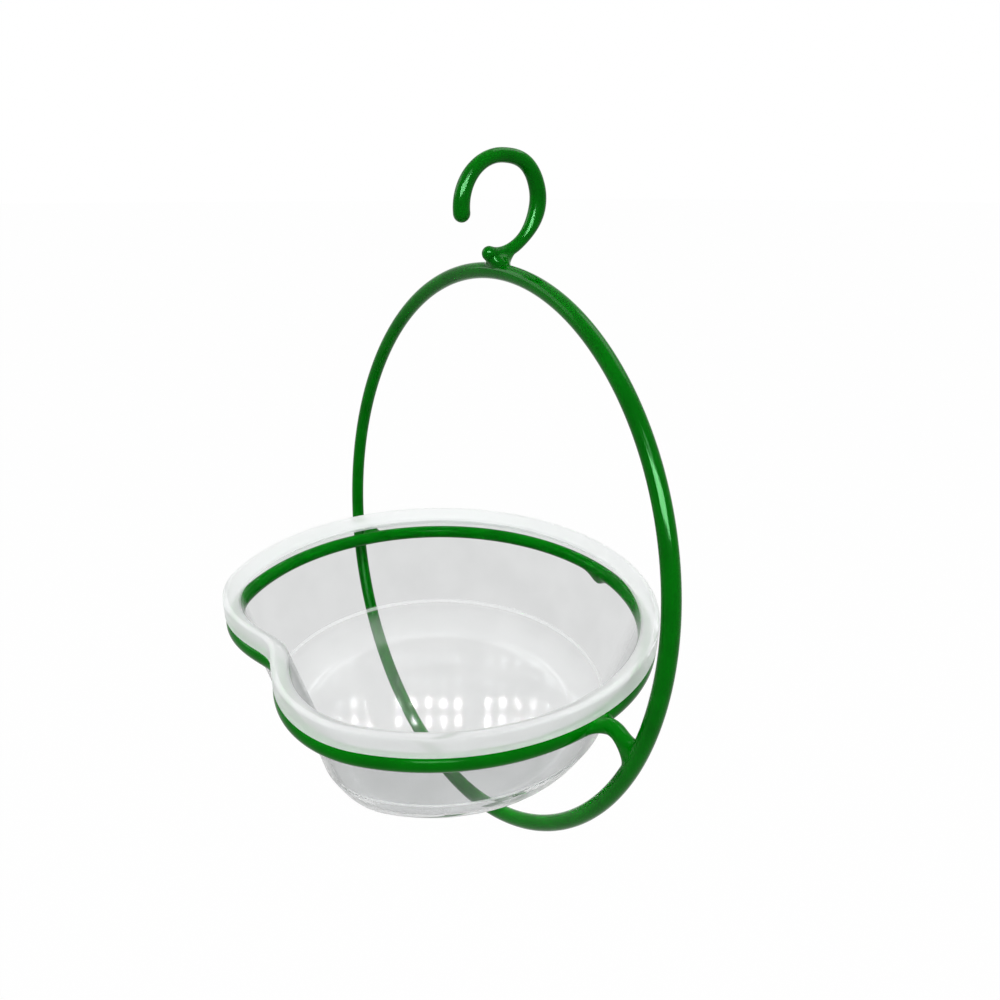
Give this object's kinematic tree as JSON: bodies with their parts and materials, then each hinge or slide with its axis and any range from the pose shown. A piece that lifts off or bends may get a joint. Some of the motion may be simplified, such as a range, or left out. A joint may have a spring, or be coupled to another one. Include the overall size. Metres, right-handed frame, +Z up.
{
  "type": "bird feeder cup",
  "caption": "Hanging bird feeder: a clear notched cup that lifts out of a coated wire ring, held by short arms inside an upright hoop with a hanging hook.",
  "frame": {"origin": "point under the top of the hook where the feeder hangs on a bar", "axes": "+Z up, +X along the hoop to the right arm, -Y towards the notch of the cup"},
  "size_m": [0.15, 0.111, 0.1746],
  "materials": {
    "steel_wire": "drawn steel wire",
    "green_coat": "glossy green dipped plastic coat",
    "clear_cup": "clear moulded plastic, glossy"
  },
  "bodies": {
    "frame": {"hoop_core": "steel_wire", "hoop_coat": "green_coat", "ring_core": "steel_wire", "ring_coat": "green_coat", "arm_core_left": "steel_wire", "arm_coat_left": "green_coat", "arm_core_right": "steel_wire", "arm_coat_right": "green_coat", "hook_core": "steel_wire", "hook_coat": "green_coat", "hook_weld": "steel_wire", "hook_fillet": "green_coat"},
    "cup": {"cup": "clear_cup"}
  },
  "joints": [
    {"name": "cup_lift", "type": "slide", "parent": "frame", "child": "cup", "axis": [0, 0, 1], "range_m": [0, 0.042]}
  ]
}
